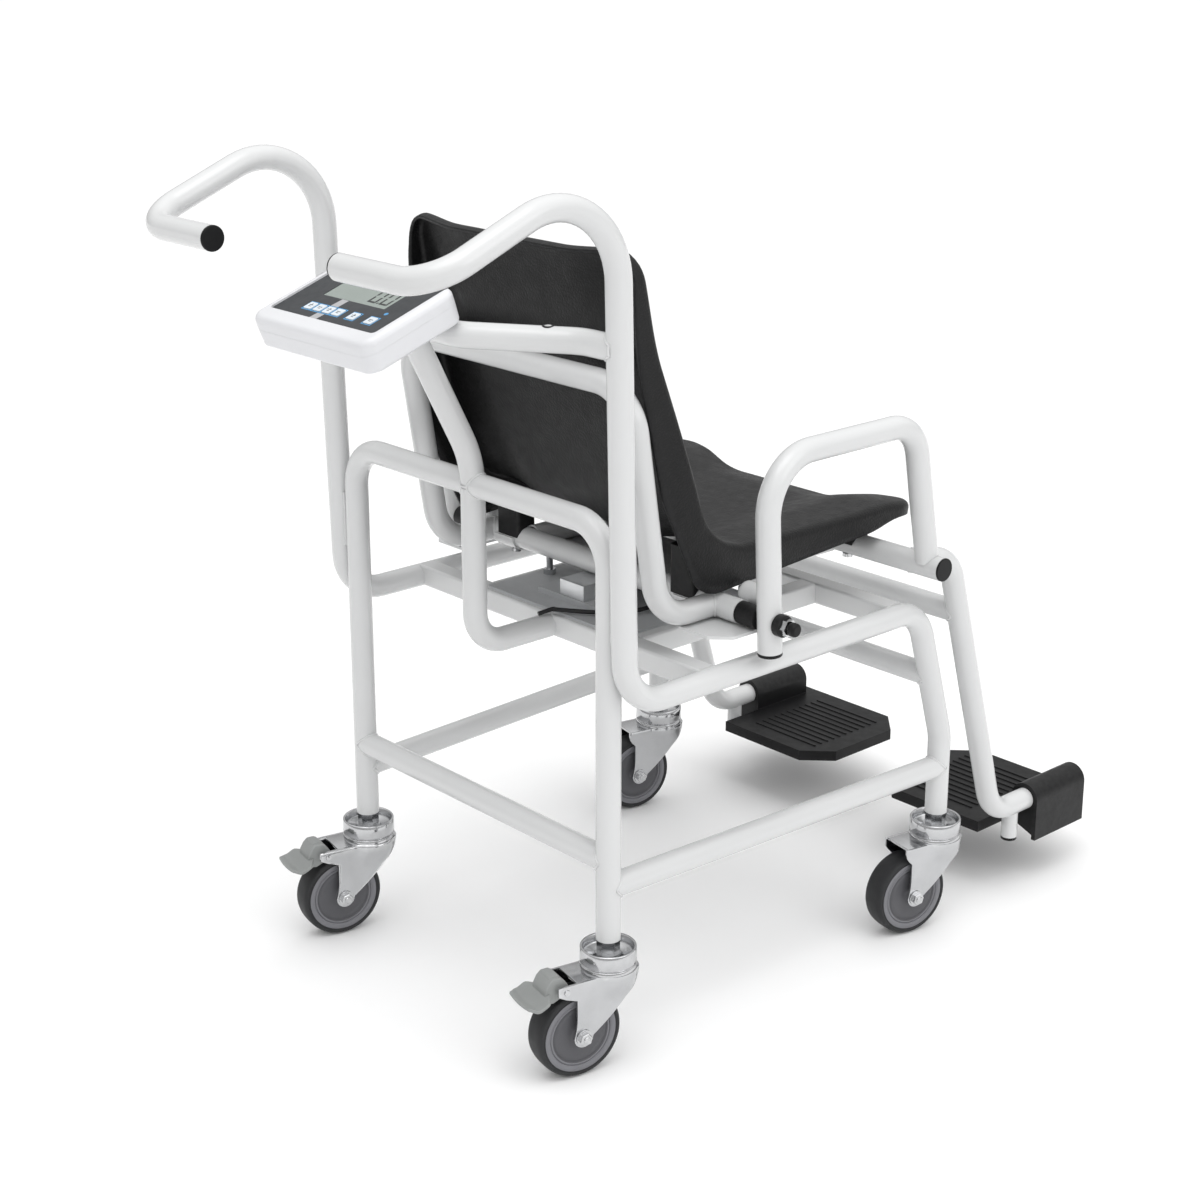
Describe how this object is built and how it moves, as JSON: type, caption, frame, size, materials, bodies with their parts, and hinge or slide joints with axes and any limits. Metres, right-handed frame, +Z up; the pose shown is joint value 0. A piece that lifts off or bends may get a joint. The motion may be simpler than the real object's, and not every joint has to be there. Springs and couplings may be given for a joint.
{
  "type": "chair scale",
  "caption": "Wheeled chair scale: white tube base on swivel casters carrying a black shell seat on a weighing frame, with fold-up armrests and footplates and a rear display head.",
  "frame": {"origin": "on the floor, in the left-right middle plane, under the middle of the whole from footplates to push grips", "axes": "+Z up, -Y is where the sitter faces, +Y is the operator's side, +X is the sitter's left"},
  "size_m": [0.6142, 1.055, 0.9456],
  "materials": {
    "white_frame": "gloss",
    "grey_plate": "satin",
    "load_cell_alloy": "satin",
    "zinc": "polished",
    "black_rubber": "satin",
    "display_white": "satin",
    "foil_grey": "matte",
    "lcd_glass": "gloss",
    "board_green": "matte",
    "battery": "matte",
    "seat_black": "textured",
    "black_plastic": "satin",
    "wheel_grey": "satin",
    "tyre_grey": "matte",
    "pedal_grey": "satin",
    "key_white": "satin"
  },
  "bodies": {
    "base_frame": {"rear_hoop": "white_frame", "side_frame_left": "white_frame", "side_frame_right": "white_frame", "lower_stretchers": "white_frame", "front_cross_tube": "white_frame", "cross_rails": "white_frame", "base_rails": "white_frame", "load_cell_plate": "grey_plate", "load_cell": "load_cell_alloy", "weigh_plate": "grey_plate", "frame_bolts": "zinc", "signal_cable": "black_rubber", "display_bow": "white_frame", "display_post": "white_frame", "display_rear_cover": "display_white", "display_front_cover": "display_white", "keypad_foil": "foil_grey", "display_lcd": "lcd_glass", "display_board": "board_green", "battery_pack": "battery", "rear_seat_tube": "white_frame", "front_seat_tube": "white_frame", "seat_rails": "white_frame", "backrest_loop": "white_frame", "hanger_left": "white_frame", "hanger_right": "white_frame", "hanger_cross_tube": "white_frame", "frame_brackets": "white_frame", "seat_shell": "seat_black", "seat_feet": "black_plastic", "pivot_spacers": "black_plastic", "armrest_pivot_bolts": "zinc", "tube_end_caps": "black_plastic", "caster_mounts": "zinc"},
    "armrest_left_body": {"armrest_left": "white_frame", "armrest_cap_left": "black_plastic"},
    "armrest_right_body": {"armrest_right": "white_frame", "armrest_cap_right": "black_plastic"},
    "footplate_left_body": {"footplate_left": "black_plastic"},
    "footplate_right_body": {"footplate_right": "black_plastic"},
    "caster_front_left": {"fork_front_left": "zinc"},
    "wheel_front_left": {"wheel_core_front_left": "wheel_grey", "tyre_front_left": "tyre_grey"},
    "caster_front_right": {"fork_front_right": "zinc"},
    "wheel_front_right": {"wheel_core_front_right": "wheel_grey", "tyre_front_right": "tyre_grey"},
    "caster_rear_left": {"fork_rear_left": "zinc"},
    "wheel_rear_left": {"wheel_core_rear_left": "wheel_grey", "tyre_rear_left": "tyre_grey"},
    "caster_rear_right": {"fork_rear_right": "zinc"},
    "wheel_rear_right": {"wheel_core_rear_right": "wheel_grey", "tyre_rear_right": "tyre_grey"},
    "brake_left": {"brake_pedal_left": "pedal_grey"},
    "brake_right": {"brake_pedal_right": "pedal_grey"},
    "key_1_body": {"key_1": "key_white"},
    "key_2_body": {"key_2": "key_white"},
    "key_3_body": {"key_3": "key_white"},
    "key_4_body": {"key_4": "key_white"},
    "key_5_body": {"key_5": "key_white"},
    "key_6_body": {"key_6": "key_white"}
  },
  "joints": [
    {"name": "armrest_left_fold", "type": "hinge", "parent": "base_frame", "child": "armrest_left_body", "pos_m": [0.267, 0.09303, 0.472], "axis": [-1, 0, 0], "range_deg": [0, 85]},
    {"name": "armrest_right_fold", "type": "hinge", "parent": "base_frame", "child": "armrest_right_body", "pos_m": [-0.267, 0.09303, 0.472], "axis": [-1, 0, 0], "range_deg": [0, 85]},
    {"name": "footplate_left_flip", "type": "hinge", "parent": "base_frame", "child": "footplate_left_body", "pos_m": [0.242, -0.45947, 0.1085], "axis": [0, 1, 0], "range_deg": [0, 90]},
    {"name": "footplate_right_flip", "type": "hinge", "parent": "base_frame", "child": "footplate_right_body", "pos_m": [-0.242, -0.45947, 0.1085], "axis": [0, -1, 0], "range_deg": [0, 90]},
    {"name": "caster_front_left_swivel", "type": "hinge", "parent": "base_frame", "child": "caster_front_left", "pos_m": [0.242, -0.23347, 0.12], "axis": [0, 0, 1], "continuous": true},
    {"name": "wheel_front_left_spin", "type": "hinge", "parent": "caster_front_left", "child": "wheel_front_left", "pos_m": [0.25073, -0.19239, 0.05], "axis": [0.9781, -0.2079, 0], "continuous": true},
    {"name": "caster_front_right_swivel", "type": "hinge", "parent": "base_frame", "child": "caster_front_right", "pos_m": [-0.242, -0.23347, 0.12], "axis": [0, 0, 1], "continuous": true},
    {"name": "wheel_front_right_spin", "type": "hinge", "parent": "caster_front_right", "child": "wheel_front_right", "pos_m": [-0.23327, -0.19239, 0.05], "axis": [0.9781, -0.2079, 0], "continuous": true},
    {"name": "caster_rear_left_swivel", "type": "hinge", "parent": "base_frame", "child": "caster_rear_left", "pos_m": [0.215, 0.27453, 0.12], "axis": [0, 0, 1], "continuous": true},
    {"name": "wheel_rear_left_spin", "type": "hinge", "parent": "caster_rear_left", "child": "wheel_rear_left", "pos_m": [0.22373, 0.31561, 0.05], "axis": [0.9781, -0.2079, 0], "continuous": true},
    {"name": "caster_rear_right_swivel", "type": "hinge", "parent": "base_frame", "child": "caster_rear_right", "pos_m": [-0.215, 0.27453, 0.12], "axis": [0, 0, 1], "continuous": true},
    {"name": "wheel_rear_right_spin", "type": "hinge", "parent": "caster_rear_right", "child": "wheel_rear_right", "pos_m": [-0.20627, 0.31561, 0.05], "axis": [0.9781, -0.2079, 0], "continuous": true},
    {"name": "brake_left_press", "type": "hinge", "parent": "caster_rear_left", "child": "brake_left", "pos_m": [0.22789, 0.33518, 0.108], "axis": [-0.9781, 0.2079, 0], "range_deg": [0, 8]},
    {"name": "brake_right_press", "type": "hinge", "parent": "caster_rear_right", "child": "brake_right", "pos_m": [-0.20211, 0.33518, 0.108], "axis": [-0.9781, 0.2079, 0], "range_deg": [0, 8]},
    {"name": "key_1_press", "type": "slide", "parent": "base_frame", "child": "key_1_body", "axis": [0, -0.3371, -0.9415], "range_m": [0, 0.0005], "stiffness_N_per_m": 400},
    {"name": "key_2_press", "type": "slide", "parent": "base_frame", "child": "key_2_body", "axis": [0, -0.3371, -0.9415], "range_m": [0, 0.0005], "stiffness_N_per_m": 400},
    {"name": "key_3_press", "type": "slide", "parent": "base_frame", "child": "key_3_body", "axis": [0, -0.3371, -0.9415], "range_m": [0, 0.0005], "stiffness_N_per_m": 400},
    {"name": "key_4_press", "type": "slide", "parent": "base_frame", "child": "key_4_body", "axis": [0, -0.3371, -0.9415], "range_m": [0, 0.0005], "stiffness_N_per_m": 400},
    {"name": "key_5_press", "type": "slide", "parent": "base_frame", "child": "key_5_body", "axis": [0, -0.3371, -0.9415], "range_m": [0, 0.0005], "stiffness_N_per_m": 400},
    {"name": "key_6_press", "type": "slide", "parent": "base_frame", "child": "key_6_body", "axis": [0, -0.3371, -0.9415], "range_m": [0, 0.0005], "stiffness_N_per_m": 400}
  ]
}
